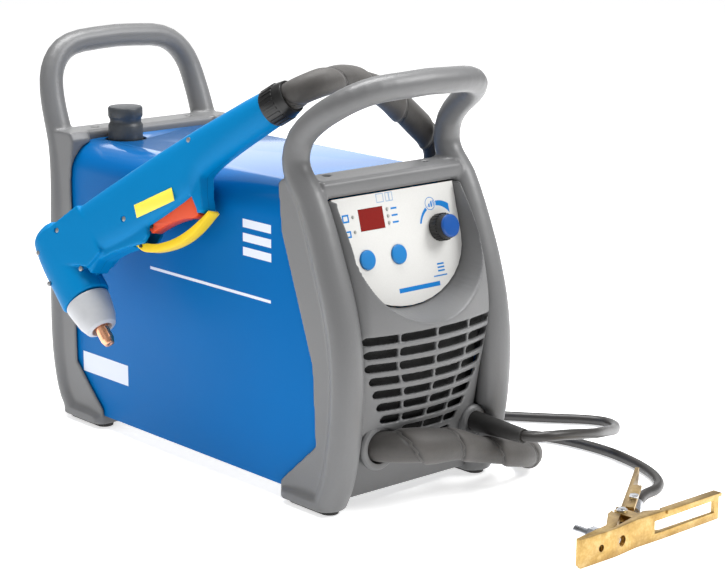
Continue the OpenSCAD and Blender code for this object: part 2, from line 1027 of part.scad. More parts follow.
module torch_guard() {
    outer = spline([[93, 44, 0], [100, 54, 0], [116, 61, 0], [138, 65, 0], [160, 63, 0],
        [183, 55.5, 0]], 4);
    inner = spline([[182, 52.8, 0], [160, 57.5, 0], [138, 58.5, 0], [118, 54.5, 0], [106, 48.6, 0]], 4);
    color("gold")
        in_torch()
            translate([0, 0, -6.5])
                difference() {
                    linear_extrude(13)
                        polygon([for (p = concat(outer, inner)) [p.x, p.y]]);
                    translate([99, 48, -1])
                        cylinder(d = 3, h = 20);
                }
}

module trigger_switch() {
    color([0.15, 0.15, 0.15])
        in_torch() {
            translate([130, 8.5, -5])
                cube([16, 12, 10]);
            for (p = [[117, 37, 4], [99, 48, 3]])
                translate([p.x, p.y, -7.8])
                    cylinder(d = p.z - 0.1, h = 15.6);
        }
}

module regulator() {
    color("silver")
        translate([regulator_at.x, regulator_at.y, 0]) {
            translate([0, 0, 176])
                cylinder(d = 25, h = 34);
            translate([-17, -12, 210])
                cube([34, 24, 36]);
            translate([0, 0, 246])
                difference() {
                    cylinder(d = 27, h = 38);
                    translate([0, 0, 22])
                        cylinder(d = 10.12, h = 20);
                }
        }
}

module regulator_spindle() {
    color("silver")
        translate([regulator_at.x, regulator_at.y, 269])
            cylinder(d = 10, h = 31);
}

module regulator_knob() {
    color([0.2, 0.2, 0.2])
        translate([regulator_at.x, regulator_at.y, 273])
            rotate_extrude()
                polygon([
                    [13.57, 0], [16.6, 0], [16.6, 17], [15, 20], [15, 23], [16.6, 26],
                    [16.6, 33.5], [15.6, 35],
                    [0, 35], [0, 31.5], [5.06, 31.5], [5.06, 17], [13.57, 17]
                ]);
}

module solenoid_valve() {
    color("black")
        translate([-66, 80, 180]) {
            cube([24, 34, 30]);
            translate([12, 17, 30])
                cylinder(d = 16, h = 22);
        }
}

module air_hose() {
    color("steelblue")
        cord([
            [-54, 97, 176], [-60, 98, 158], [-73, 94, 135], [-83, 78, 110], [-84.5, 20, 80],
            [-84.5, -60, 62],
            [-81, -120, 56], [-68, -160, 55], [-52, -186, 55]
        ], 3, 8, 10);
}

module air_inlet() {
    color("gold")
        translate([inlet_at.x, 156, inlet_at.y])
            rotate([-90, 0, 0]) {
                translate([0, 0, 7.5])
                    cylinder(d = 13.6, h = 2.6);
                translate([0, 0, 10])
                    cylinder(d = 19, h = 7, $fn = 6);
                translate([0, 0, 17])
                    cylinder(d = 9, h = 18);
            }
}

module at_fan() {
    translate([fan_at.x, 0, fan_at.y])
        rotate([-90, 0, 0])
            children();
}

module fan_frame() {
    color([0.12, 0.12, 0.12])
        at_fan()
            translate([0, 0, 137]) {
                difference() {
                    translate([-60, -60, 0])
                        cube([120, 120, 25]);
                    translate([0, 0, -1])
                        cylinder(d = 116, h = 40);
                }
                for (a = [45, 135, 225, 315])
                    rotate(a)
                        translate([16, -2, 0])
                            cube([42.5, 4, 4]);
                difference() {
                    cylinder(d = 40, h = 5);
                    translate([0, 0, -1])
                        cylinder(d = 4.12, h = 8);
                }
            }
}

module fan_rotor() {
    color([0.2, 0.2, 0.2])
        at_fan()
            translate([0, 0, 142.6]) {
                cylinder(d = 42, h = 17);
                translate([0, 0, -5])
                    cylinder(d = 4, h = 6);
                for (a = [0:360 / 7:359])
                    rotate(a)
                        translate([18, 0, 8.5])
                            rotate([35, 0, 0])
                                translate([0, -11, -0.8])
                                    cube([36, 22, 1.6]);
            }
}

module fan_guard() {
    color("silver")
        at_fan()
            translate([0, 0, 166]) {
                for (r = [20:12:56])
                    rotate_extrude($fn = 64)
                        translate([r, 1.2])
                            circle(1.2, $fn = 16);
                for (a = [45, 135])
                    rotate(a)
                        translate([-60, -1.2, 0])
                            cube([120, 2.4, 2.4]);
            }
}

module at_switch() {
    translate([switch_at.x, 165.8, switch_at.y])
        rotate([-90, 0, 0])
            children();
}

module mains_switch() {
    color("black")
        at_switch()
            difference() {
                union() {
                    translate([-15, -15, -28])
                        cube([30, 30, 26]);
                    cylinder(d = 30, h = 2);
                    translate([0, 0, -4])
                        cylinder(d = 21.6, h = 5);
                }
                translate([0, 0, -12])
                    cylinder(d = shaft_d + 0.12, h = 20);
            }
}

module mains_switch_knob() {
    color("crimson")
        at_switch()
            translate([0, 0, 2.4]) {
                cylinder(d = 26, h = 5);
                translate([-13, -4, 5])
                    cube([26, 8, 9]);
                translate([0, 0, -14])
                    cylinder(d = shaft_d, h = 15);
            }
}

module mains_gland() {
    color("black")
        translate([-62, 160, 60])
            rotate([-90, 0, 0])
                difference() {
                    union() {
                        cylinder(d = 19.6, h = 8);
                        translate([0, 0, 6])
                            cylinder(d = 26, h = 6, $fn = 6);
                        translate([0, 0, 12])
                            cylinder(d1 = 23, d2 = 18, h = 14);
                    }
                    translate([0, 0, -1])
                        cylinder(d = 11, h = 40);
                }
}

module heat_sink() {
    color("lightgray")
        translate([-45, -110, 34])
            difference() {
                cube([100, 220, 46]);
                for (x = [5:8:93])
                    translate([x, -1, -1])
                        cube([5, 222, 38]);
            }
}

module power_board() {
    color("darkgreen")
        translate([-75, -135, 92])
            cube([150, 240, 2]);
    color("black")
        for (x = [-30, 10], y = [-90, -40, 10, 60])
            translate([x, y, 80])
                cube([20, 26, 12.5]);
}

module capacitors() {
    color("navy")
        for (x = [-50, 0], y = [40, 82])
            translate([x, y, 94])
                cylinder(d = 34, h = 46);
}

module transformer() {
    color([0.25, 0.25, 0.27])
        translate([-35, -60, 94]) {
            cube([70, 14, 60]);
            translate([0, 40, 0])
                cube([70, 14, 60]);
            translate([28, 10, 0])
                cube([14, 34, 60]);
        }
    color("peru")
        translate([0, -33, 100])
            rotate([0, 0, 0])
                difference() {
                    translate([-22, -12.8, 0])
                        cube([44, 25.6, 48]);
                    translate([-7.2, -14, -1])
                        cube([14.4, 28, 50]);
                }
}

module output_choke() {
    color("darkorange")
        translate([0, -105, 122])
            rotate([90, 0, 0])
                rotate_extrude()
                    translate([19, 0])
                        circle(9);
}

cover();
base_tray();
front_frame();
front_fascia();
rear_frame();
rear_panel();
rubber_feet();
frame_screws();
control_panel();
display_window();
indicator_lights();
control_board();
potentiometer();
current_knob();
current_knob_cap();
mode_button();
gas_button();
torch_port();
earth_gland();
earth_sleeve();
earth_cable();
earth_coil();
earth_cable_end();
clamp_fixed_jaw();
clamp_moving_jaw();
clamp_pin();
clamp_spring();
clamp_lug_bolt();
torch_lead();
torch_lead_coil();
torch_lead_end();
torch_shell_left();
torch_shell_right();
torch_screws();
torch_label();
torch_collar();
torch_head();
electrode();
cutting_tip();
shield_cup();
torch_trigger();
torch_guard();
trigger_switch();
regulator();
regulator_spindle();
regulator_knob();
solenoid_valve();
air_hose();
air_inlet();
fan_frame();
fan_rotor();
fan_guard();
mains_switch();
mains_switch_knob();
mains_gland();
heat_sink();
power_board();
capacitors();
transformer();
output_choke();
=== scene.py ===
import math

import bpy
import bmesh
from mathutils import Matrix, Quaternion, Vector


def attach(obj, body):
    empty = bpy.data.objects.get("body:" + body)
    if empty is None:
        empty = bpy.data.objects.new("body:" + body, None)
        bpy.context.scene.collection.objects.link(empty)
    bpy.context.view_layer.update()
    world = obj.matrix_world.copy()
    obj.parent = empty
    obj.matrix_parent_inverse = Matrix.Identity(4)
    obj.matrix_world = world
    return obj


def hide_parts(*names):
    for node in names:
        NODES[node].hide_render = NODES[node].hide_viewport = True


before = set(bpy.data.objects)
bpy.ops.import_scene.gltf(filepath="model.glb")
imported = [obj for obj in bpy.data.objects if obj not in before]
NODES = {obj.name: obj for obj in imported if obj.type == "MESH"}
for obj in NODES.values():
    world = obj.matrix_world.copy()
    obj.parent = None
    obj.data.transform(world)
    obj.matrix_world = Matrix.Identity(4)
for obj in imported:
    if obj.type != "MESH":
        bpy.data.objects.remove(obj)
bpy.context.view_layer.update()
CASE = "power_source"


# ---------------------------------------------------------------- shader maths

class Value:
    """One number that changes over a surface, so that mask * 0.4 + 0.2 reads as it looks."""

    def __init__(self, finish, socket):
        self.finish = finish
        self.socket = socket

    def _with(self, operation, first, second):
        made = self.finish.node("Math", {"operation": operation}, {0: first, 1: second})
        return Value(self.finish, made.outputs[0])

    def __add__(self, other):
        return self._with("ADD", self, other)

    def __sub__(self, other):
        return self._with("SUBTRACT", self, other)

    def __mul__(self, other):
        return self._with("MULTIPLY", self, other)

    def __truediv__(self, other):
        return self._with("DIVIDE", self, other)

    def __gt__(self, other):
        return self._with("GREATER_THAN", self, other)

    def __lt__(self, other):
        return self._with("LESS_THAN", self, other)

    def __mod__(self, other):
        return self._with("FLOORED_MODULO", self, other)

    def __radd__(self, other):
        return self._with("ADD", other, self)

    def __rsub__(self, other):
        return self._with("SUBTRACT", other, self)

    def __rmul__(self, other):
        return self._with("MULTIPLY", other, self)

    def size(self):
        return self._with("ABSOLUTE", self, 0.0)

    def root(self):
        return self._with("SQRT", self, 0.0)

    def held(self):
        """Kept between 0 and 1."""
        return self._with("MAXIMUM", self._with("MINIMUM", self, 1.0), 0.0)

    def within(self, low, high):
        return (self > low) * (self < high)

    def soft_step(self, low, high):
        made = self.finish.node("MapRange", {"interpolation_type": "SMOOTHSTEP"},
                                {"Value": self, "From Min": low, "From Max": high})
        return Value(self.finish, made.outputs[0])


class Finish:
    """A material made of nodes. Its shader is ready, and paint() connects what changes over the surface."""

    def __init__(self, name, slot, **fixed):
        self.material = bpy.data.materials.new(name)
        self.material.use_nodes = True
        self.tree = self.material.node_tree
        self.tree.nodes.clear()
        self.slot = slot
        self.shader = self.node("BsdfPrincipled")
        output = self.node("OutputMaterial")
        self.tree.links.new(self.shader.outputs[0], output.inputs[0])
        self.place = self.node("TexCoord").outputs["Object"]
        for socket, value in fixed.items():
            self.shader.inputs[socket.replace("_", " ")].default_value = value

    def node(self, kind, settings=None, inputs=None):
        made = self.tree.nodes.new("ShaderNode" + kind)
        for key, value in (settings or {}).items():
            if key == "stops":
                ramp = made.color_ramp.elements
                while len(ramp) < len(value):
                    ramp.new(0.5)
                for stop, (where, colour) in zip(ramp, value):
                    stop.position = where
                    stop.color = (*colour, 1.0)
            else:
                setattr(made, key, value)
        for key, value in (inputs or {}).items():
            self.feed(made.inputs[key], value)
        return made

    def feed(self, socket, value):
        if isinstance(value, Value):
            value = value.socket
        if isinstance(value, bpy.types.NodeSocket):
            self.tree.links.new(value, socket)
        elif isinstance(value, tuple) and len(value) == 3 and socket.type == "RGBA":
            socket.default_value = (*value, 1.0)
        else:
            socket.default_value = value

    def axes(self, place=None):
        split = self.node("SeparateXYZ", {}, {0: place or self.place})
        return [Value(self, s) for s in split.outputs]

    def moved(self, origin, x, y, z):
        """Place measured from origin along three directions of the piece."""
        shifted = self.node("VectorMath", {"operation": "SUBTRACT"}, {0: self.place, 1: tuple(origin)})
        return [Value(self, self.node("VectorMath", {"operation": "DOT_PRODUCT"},
                                      {0: shifted.outputs[0], 1: tuple(d)}).outputs["Value"])
                for d in (x, y, z)]

    def stretched(self, x, y, z):
        return self.node("VectorMath", {"operation": "MULTIPLY"}, {0: self.place, 1: (x, y, z)}).outputs[0]

    def noise(self, scale, detail=3.0, rough=0.5, place=None):
        made = self.node("TexNoise", {}, {"Vector": place or self.place, "Scale": scale, "Detail": detail,
                                          "Roughness": rough})
        return Value(self, made.outputs["Fac"])

    def cells(self, scale, place=None, feature="F1"):
        made = self.node("TexVoronoi", {"feature": feature}, {"Vector": place or self.place, "Scale": scale})
        return Value(self, made.outputs["Distance"])

    def mix(self, factor, first, second):
        made = self.node("Mix", {"data_type": "RGBA"}, {0: factor, 6: first, 7: second})
        return made.outputs[2]

    def ramp(self, factor, *stops):
        return self.node("ValToRGB", {"stops": stops}, {0: factor}).outputs[0]

    def paint(self, colour=None, rough=None, metal=None, coat=None, height=None, depth=0.0002, glow=None):
        for name, value in (("Base Color", colour), ("Roughness", rough), ("Metallic", metal),
                            ("Coat Weight", coat), ("Emission Color", glow)):
            if value is not None:
                self.feed(self.shader.inputs[name], value)
        if height is not None:
            bump = self.node("Bump", {}, {"Height": height, "Distance": depth, "Strength": 1.0})
            self.tree.links.new(bump.outputs[0], self.shader.inputs["Normal"])
        return self


# ---------------------------------------------------------------- mesh making

def unit(v):
    return Vector(v).normalized()


def spline(points, steps):
    """A smooth line through every point."""
    points = [Vector(p) for p in points]
    last = len(points) - 1
    line = []
    for i in range(last):
        a, b, c, d = points[max(i - 1, 0)], points[i], points[i + 1], points[min(i + 2, last)]
        for k in range(steps):
            t = k / steps
            line.append(0.5 * (2 * b + (c - a) * t + (2 * a - 5 * b + 4 * c - d) * t * t
                               + (3 * b - a - 3 * c + d) * t * t * t))
    line.append(points[last])
    return line


def evenly(line, gap):
    """The same line with a point every gap metres."""
    out, carry = [line[0]], 0.0
    for a, b in zip(line, line[1:]):
        span = (b - a).length
        at = gap - carry
        while at <= span:
            out.append(a.lerp(b, at / span))
            at += gap
        carry = span - (at - gap)
    if (out[-1] - line[-1]).length > gap * 0.3:
        out.append(line[-1])
    return out


def lookup(x, table):
    if x <= table[0][0]:
        return table[0][1]
    for (a, va), (b, vb) in zip(table, table[1:]):
        if x <= b:
            return va + (vb - va) * (x - a) / (b - a)
    return table[-1][1]


def smooth_lookup(x, table):
    """Like lookup, but rounded through the table's points."""
    count = len(table)
    for i in range(count - 1):
        if x <= table[i + 1][0] or i == count - 2:
            (xa, a), (xb, b) = table[max(i - 1, 0)], table[i]
            (xc, c), (xd, d) = table[i + 1], table[min(i + 2, count - 1)]
            t = min(max((x - xb) / (xc - xb), 0.0), 1.0)
            m0 = (c - a) / max(xc - xa, 1e-9) * (xc - xb)
            m1 = (d - b) / max(xd - xb, 1e-9) * (xc - xb)
            return ((2 * t**3 - 3 * t**2 + 1) * b + (t**3 - 2 * t**2 + t) * m0
                    + (-2 * t**3 + 3 * t**2) * c + (t**3 - t**2) * m1)


def solid(name, verts, faces):
    mesh = bpy.data.meshes.new(name)
    mesh.from_pydata([tuple(v) for v in verts], [], faces)
    shape = bmesh.new()
    shape.from_mesh(mesh)
    bmesh.ops.recalc_face_normals(shape, faces=shape.faces)
    shape.to_mesh(mesh)
    shape.free()
    made = bpy.data.objects.new(name, mesh)
    bpy.context.scene.collection.objects.link(made)
    return made


def skin(rings, closed=True):
    """Faces between rings of equal length, with both ends closed."""
    count, sides = len(rings), len(rings[0])
    verts = [v for ring in rings for v in ring]
    faces = []
    for i in range(count - 1):
        for k in range(sides):
            a, b = i * sides + k, i * sides + (k + 1) % sides
            faces.append((a, b, b + sides, a + sides))
    if closed:
        faces.append(tuple(range(sides - 1, -1, -1)))
        faces.append(tuple((count - 1) * sides + k for k in range(sides)))
    return verts, faces


def tube(name, line, radius, sides=24, first=None, floor=None):
    """A round tube. radius(share, angle, distance) gives the size at a place on it."""
    rings, distance = [], 0.0
    total = sum((b - a).length for a, b in zip(line, line[1:]))
    side = unit(first) if first else None
    for i, point in enumerate(line):
        ahead = line[min(i + 1, len(line) - 1)] - line[max(i - 1, 0)]
        ahead.normalize()
        if i:
            distance += (point - line[i - 1]).length
        if side is None:
            side = ahead.cross(Vector((0.1, 0.2, 1)))
        side = (side - ahead * side.dot(ahead)).normalized()
        other = ahead.cross(side)
        ring = []
        for k in range(sides):
            a = 2 * math.pi * k / sides
            r = radius(distance / total, a, distance)
            at = point + (side * math.cos(a) + other * math.sin(a)) * r
            if floor is not None and at.z < floor:
                at.z = floor
            ring.append(at)
        rings.append(ring)
    return solid(name, *skin(rings))


def lathe(name, profile, frame_matrix, sides=48):
    """Turned piece: profile of (radius, height) about the z axis of frame_matrix."""
    rings = []
    for r, z in profile:
        rings.append([frame_matrix @ Vector((max(r, 0.00001) * math.cos(a), max(r, 0.00001) * math.sin(a), z))
                      for a in (2 * math.pi * k / sides for k in range(sides))])
    return solid(name, *skin(rings))


def prism(name, outline, low, high, frame_matrix=None):
    """An outline of (x, y) raised from low to high along z."""
    m = frame_matrix or Matrix.Identity(4)
    rings = [[m @ Vector((x, y, z)) for x, y in outline] for z in (low, high)]
    return solid(name, *skin(rings))


def axes_matrix(origin, x, y, z):
    m = Matrix((x, y, z)).transposed().to_4x4()
    m.translation = Vector(origin)
    return m


def bake_modifiers(piece):
    bpy.context.view_layer.update()
    evaluated = piece.evaluated_get(bpy.context.evaluated_depsgraph_get())
    mesh = bpy.data.meshes.new_from_object(evaluated)
    piece.modifiers.clear()
    old = piece.data
    piece.data = mesh
    bpy.data.meshes.remove(old)
    return piece


def joined(name, *pieces):
    """Several solids as one object, still separate shells."""
    shape = bmesh.new()
    for piece in pieces:
        shape.from_mesh(piece.data)
    mesh = bpy.data.meshes.new(name)
    shape.to_mesh(mesh)
    shape.free()
    for piece in pieces:
        bpy.data.objects.remove(piece)
    made = bpy.data.objects.new(name, mesh)
    bpy.context.scene.collection.objects.link(made)
    return made


def cut(piece, *tools, operation="DIFFERENCE", keep=False):
    for tool in tools:
        change = piece.modifiers.new("cut", "BOOLEAN")
        change.operation = operation
        change.solver = "EXACT"
        change.object = tool
        bake_modifiers(piece)
        if not keep:
            bpy.data.objects.remove(tool)
    return piece


def moulded(piece, voxel, rounds, strength=0.5):
    """Turns joined solids into one skin with soft inner and outer corners."""
    remesh = piece.modifiers.new("skin", "REMESH")
    remesh.mode = "VOXEL"
    remesh.voxel_size = voxel * 1.0
    soften = piece.modifiers.new("soften", "SMOOTH")
    soften.factor = strength
    soften.iterations = rounds
    return bake_modifiers(piece)


def shade(piece, angle=38):
    for face in piece.data.polygons:
        face.use_smooth = True
    piece.data.set_sharp_from_angle(angle=math.radians(angle))
    return piece


def place(piece, body, finish, replaces=(), angle=38, bevel=0.0):
    piece.data.materials.clear()
    piece.data.materials.append(finish.material)
    if bevel:
        edge = piece.modifiers.new("edge", "BEVEL")
        edge.width = bevel
        edge.segments = 2
        edge.limit_method = "ANGLE"
        edge.angle_limit = math.radians(35)
        edge.harden_normals = False
        bake_modifiers(piece)
    shade(piece, angle)
    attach(piece, body)
    if replaces:
        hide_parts(*replaces)
    return piece


def dress(node, finish, bevel=0.0, angle=35):
    """A CAD piece keeps its shape and gets its finish and slightly broken edges."""
    piece = NODES[node]
    mesh = piece.data
    mesh.materials.clear()
    mesh.materials.append(finish.material)
    if "custom_normal" in mesh.attributes:
        mesh.attributes.remove(mesh.attributes["custom_normal"])
    for face in mesh.polygons:
        face.use_smooth = True
        face.material_index = 0
    weld = piece.modifiers.new("weld", "WELD")
    weld.merge_threshold = 0.00001
    if bevel:
        edge = piece.modifiers.new("edge", "BEVEL")
        edge.width = bevel
        edge.segments = 2
        edge.limit_method = "ANGLE"
        edge.angle_limit = math.radians(35)
        edge.use_clamp_overlap = True
    split = piece.modifiers.new("split", "EDGE_SPLIT")
    split.split_angle = math.radians(angle)
    return piece


def mm(*values):
    return Vector(values) / 1000.0


# ---------------------------------------------------------------- camera and light

def aim_camera():
    azimuth, elevation, roll = math.radians(-41.4), math.radians(13.6), math.radians(0.15)
    back = Vector((math.sin(azimuth) * math.cos(elevation), -math.cos(azimuth) * math.cos(elevation),
                   math.sin(elevation)))
    data = bpy.data.cameras.new("camera")
    data.sensor_width = 36.0
    data.lens = 102.8
    data.clip_start, data.clip_end = 0.05, 20.0
    camera = bpy.data.objects.new("camera", data)
    bpy.context.scene.collection.objects.link(camera)
    camera.rotation_mode = "QUATERNION"
    camera.location = (-1.18015, -1.48215, 0.60088)
    camera.rotation_quaternion = (-back).to_track_quat("-Z", "Y") @ Quaternion((0, 0, 1), roll)
    bpy.context.scene.camera = camera


def area_light(name, where, target, size, power, colour=(1, 1, 1)):
    data = bpy.data.lights.new(name, "AREA")
    data.shape = "RECTANGLE"
    data.size, data.size_y = size
    data.energy = power
    data.color = colour
    lamp = bpy.data.objects.new(name, data)
    bpy.context.scene.collection.objects.link(lamp)
    lamp.location = where
    lamp.rotation_mode = "QUATERNION"
    lamp.rotation_quaternion = (Vector(target) - Vector(where)).to_track_quat("-Z", "Y")


def set_studio():
    world = bpy.data.worlds.new("studio")
    world.use_nodes = True
    world.node_tree.nodes["Background"].inputs[0].default_value = (1.0, 1.0, 1.0, 1.0)
    world.node_tree.nodes["Background"].inputs[1].default_value = 0.34
    bpy.context.scene.world = world
    area_light("key", (1.1, -1.5, 1.8), (0, -0.1, 0.2), (1.0, 1.0), 42)
    area_light("top_strip", (0.1, 0.2, 2.1), (0, 0, 0.2), (1.6, 0.9), 62)
    area_light("left_fill", (-2.0, -0.7, 1.1), (0, 0, 0.2), (1.2, 1.2), 2)
    area_light("back_card", (1.3, 1.5, 0.8), (0, 0, 0.28), (1.8, 0.8), 5)
    bpy.context.scene.view_settings.view_transform = "Standard"
    floor = solid("floor", [(-7, -7, 0), (7, -7, 0), (7, 7, 0), (-7, 7, 0)], [(0, 1, 2, 3)])
    floor.location.z = -0.0004
    table = Finish("lit_studio_table", None, Roughness=0.9, Emission_Strength=0.66)
    tone = table.mix(table.noise(3.0), (0.92, 0.92, 0.92), (0.95, 0.95, 0.95))
    table.paint(colour=tone, glow=tone)
    floor.data.materials.append(table.material)


aim_camera()
set_studio()


# ---------------------------------------------------------------- finishes

def powder_coat():
    f = Finish("blue_powder_coat", "cover_blue", Specular_IOR_Level=0.05, Coat_Roughness=0.10, Coat_IOR=1.9)
    x, y, z = f.axes()
    peel = f.noise(420.0, 2.0)
    drift = f.noise(6.0, 2.0)
    blue = f.mix(drift, (0.000, 0.118, 0.372), (0.000, 0.140, 0.425))
    left = x < -0.0945
    line = left * z.within(0.1735, 0.1762) * y.within(-0.132, 0.045)
    three = z.within(0.210, 0.2175) + z.within(0.2225, 0.230) + z.within(0.235, 0.2425)
    bars = left * y.within(-0.133, -0.094) * three
    plate = left * y.within(0.085, 0.160) * z.within(0.052, 0.072)
    printed = (line + bars + plate).held()
    colour = f.mix(printed, blue, (0.74, 0.78, 0.86))
    top = z.soft_step(0.262, 0.2772)
    f.paint(colour=colour, rough=drift * 0.06 + 0.36, coat=top * 0.9, height=peel, depth=0.00003)
    return f


def grained(name, slot, dark, light, grain=700.0, rough=0.48, depth=0.00012):
    f = Finish(name, slot)
    fine = f.noise(grain, 3.0, 0.6)
    cloud = f.noise(9.0, 3.0)
    f.paint(colour=f.mix(cloud * 0.7 + fine * 0.3, dark, light), rough=fine * 0.12 + rough - 0.06,
            height=fine, depth=depth)
    return f


def metal(name, slot, dark, light, rough=0.3, stretch=(1, 1, 1), grain=300.0, depth=0.00003, cloud=22.0):
    f = Finish(name, slot, Metallic=1.0)
    lines = f.noise(grain, 2.0, 0.6, f.stretched(*stretch))
    patches = f.noise(cloud, 3.0, 0.6)
    f.paint(colour=f.mix(patches, dark, light), rough=lines * 0.16 + patches * 0.10 + rough - 0.12,
            height=lines, depth=depth)
    return f


def wrapped_cloth():
    f = Finish("lead_sleeve_cloth", "sleeve_cloth", Sheen_Weight=0.15)
    fibre = f.noise(240.0, 4.0, 0.65)
    fold_bump_and_shade = f.noise(34.0, 3.0, 0.55)
    weave = f.cells(900.0)
    # The fold noise also darkens the colour where its bump is low: painted shade in the fold hollows, mixed
    # with random fibre tone.
    colour = f.mix((fold_bump_and_shade * 0.65 + fibre * 0.45).held(), (0.012, 0.011, 0.010), (0.066, 0.061, 0.057))
    lap = Value(f, f.node("Attribute", {"attribute_name": "lap"}).outputs["Fac"])
    # seam marks the wrap seams. It cuts the bump there, and below it darkens the colour as painted shade in
    # the seam groove.
    seam = (1.0 - lap.soft_step(0.0, 0.085)) + lap.soft_step(0.93, 1.0)
    # Painted highlight: each lap is lighter towards its raised leading edge.
    colour = f.mix((1.0 - lap) * 0.30, colour, (0.115, 0.106, 0.098))
    # Painted shade: near-black colour along the wrap seams.
    colour = f.mix(seam.held() * 0.85, colour, (0.006, 0.006, 0.006))
    f.paint(colour=colour, rough=fibre * 0.2 + 0.50,
            height=fold_bump_and_shade * 0.75 + fibre * 0.2 + weave * 0.08 - seam, depth=0.0009)
    return f


def yellow_brass():
    f = Finish("passivated_clamp_sheet", "clamp_brass", Metallic=1.0)
    patches = f.noise(38.0, 4.0, 0.65)
    speck = f.noise(420.0, 3.0, 0.6)
    colour = f.ramp(patches * 0.75 + speck * 0.25, (0.28, (0.22, 0.125, 0.035)), (0.50, (0.44, 0.29, 0.10)),
                    (0.72, (0.66, 0.50, 0.25)))
    f.paint(colour=colour, rough=speck * 0.16 + patches * 0.14 + 0.20,
            height=speck + patches * 0.5, depth=0.00008)
    return f


# Directions of the control panel and of the torch, and where each starts.
PANEL_AT = mm(0, -196, 220)
PANEL_X, PANEL_Y, PANEL_N = Vector((1, 0, 0)), Vector((0, 0.2588, 0.9659)), Vector((0, -0.9659, 0.2588))
TORCH_AT = mm(-156.5, 104, 195.5)
TORCH_U = unit(mm(-74.5, -134, 350.5) - TORCH_AT)
TORCH_V = mm(-158.5, 20, 116.5) - TORCH_AT
TORCH_V = unit(TORCH_V - TORCH_U * TORCH_V.dot(TORCH_U))
TORCH_W = TORCH_U.cross(TORCH_V)


def torch_plastic():
    f = Finish("torch_shell", "torch_blue", Specular_IOR_Level=0.10)
    u, _, w = f.moved(TORCH_AT, TORCH_U, TORCH_V, TORCH_W)
    fine = f.noise(620.0, 3.0, 0.6)
    cloud = f.noise(11.0, 2.0)
    seam = (w.size() < 0.0003) * (u > -0.05)
    colour = f.mix(cloud * 0.7 + fine * 0.3, (0.000, 0.175, 0.430), (0.000, 0.210, 0.500))
    colour = f.mix(seam * 0.6, colour, (0.0, 0.06, 0.20))
    f.paint(colour=colour, rough=fine * 0.1 + 0.34, height=fine - seam, depth=0.00006)
    return f


def printed_film():
    """The panel's film: a scale over the knob, marks by the lamps and a plain stripe."""
    f = Finish("panel_film", "panel_white", Specular_IOR_Level=0.3)
    x, y, n = f.moved(PANEL_AT, PANEL_X, PANEL_Y, PANEL_N)
    fine = f.noise(800.0, 2.0)
    face = n > -0.0005
    kx, ky = x - 0.045, y - 0.0115
    reach = (kx * kx + ky * ky).root()
    taper = (kx + 0.024) * 0.10
    scale = reach.within(0.0195, 0.0205) + (reach > 0.0205) * (reach < 0.0212 + taper)
    scale = scale * (ky > 0.006) * kx.within(-0.023, 0.016)
    mx, my = x - 0.0395, y - 0.0335
    middle = (mx * mx + my * my).root()
    disc = middle < 0.0066
    ring = middle.within(0.0052, 0.0058)
    bars = (disc * (middle < 0.0046) * ((mx + 0.005) % 0.0028 < 0.0017)
            * (my < mx * 0.7 + 0.001) * (my > -0.003))
    outer, inner = x.within(-0.0620, -0.0545), x.within(-0.0605, -0.0560)
    marks = (x.within(-0.0065, 0.0005) * ((y - 0.0222) % 0.006 < 0.0016) * y.within(0.021, 0.037)
             + outer * (y.within(0.029, 0.036) - y.within(0.0305, 0.0345) * inner)
             + outer * (y.within(0.016, 0.022) - y.within(0.0175, 0.0205) * inner))
    signs = ((x.within(-0.021, -0.0125) + x.within(-0.0105, -0.0020)) * y.within(0.0415, 0.0495)
             - (x.within(-0.0202, -0.0133) + x.within(-0.0097, -0.0028)) * y.within(0.0423, 0.0487)
             + x.within(-0.0070, -0.0055) * y.within(0.0423, 0.0487))
    three = y.within(-0.0265, -0.0250) + y.within(-0.0235, -0.0220) + y.within(-0.0205, -0.019)
    small_bars = x.within(0.036, 0.044) * three
    stripe = (x.within(-0.012, 0.036) * y.within(-0.0385, -0.0345)
              + x.within(0.030, 0.046) * y.within(-0.0305, -0.0293))
    blue = (scale * (1.0 - disc) + ring + bars + marks + small_bars + stripe).held()
    paper = f.mix(fine, (0.60, 0.595, 0.575), (0.66, 0.655, 0.635))
    colour = f.mix(face * signs.held() * 0.75, paper, (0.16, 0.30, 0.50))
    colour = f.mix(face * blue, colour, (0.000, 0.170, 0.500))
    f.paint(colour=colour, rough=fine * 0.1 + 0.34, height=fine, depth=0.00002)
    return f


BLUE_COAT = powder_coat()
GREY = grained("grey_moulding", "grey_moulding",
               (0.118, 0.119, 0.121), (0.158, 0.159, 0.161), 520.0, 0.40, 0.00010)
RUBBER = grained("black_rubber", "rubber_black",
                 (0.010, 0.010, 0.010), (0.022, 0.021, 0.020), 400.0, 0.62, 0.0001)
CABLE = grained("cable_sheath", "cord_black",
                (0.014, 0.013, 0.012), (0.032, 0.029, 0.027), 180.0, 0.42, 0.00012)
CLOTH = wrapped_cloth()
TORCH_BLUE = torch_plastic()
FILM = printed_film()
DISPLAY = grained("display_filter", "display_red",
                  (0.170, 0.006, 0.004), (0.230, 0.012, 0.008), 300.0, 0.16, 0.00001)
LENS = grained("led_lens", "lens_clear", (0.30, 0.31, 0.29), (0.42, 0.43, 0.40), 900.0, 0.3, 0.00002)
FOAM = grained("filter_foam", "fan_black", (0.004, 0.004, 0.004), (0.012, 0.012, 0.012), 900.0, 0.8, 0.0006)
KNOB = grained("knob_plastic", "knob_black",
               (0.003, 0.003, 0.003), (0.008, 0.008, 0.008), 500.0, 0.34, 0.00005)
CAP = grained("knob_cap", "cap_blue", (0.000, 0.055, 0.260), (0.000, 0.070, 0.300), 500.0, 0.30, 0.00004)
BUTTON = grained("button_face", "button_blue",
                 (0.000, 0.150, 0.420), (0.002, 0.180, 0.480), 500.0, 0.36, 0.00004)
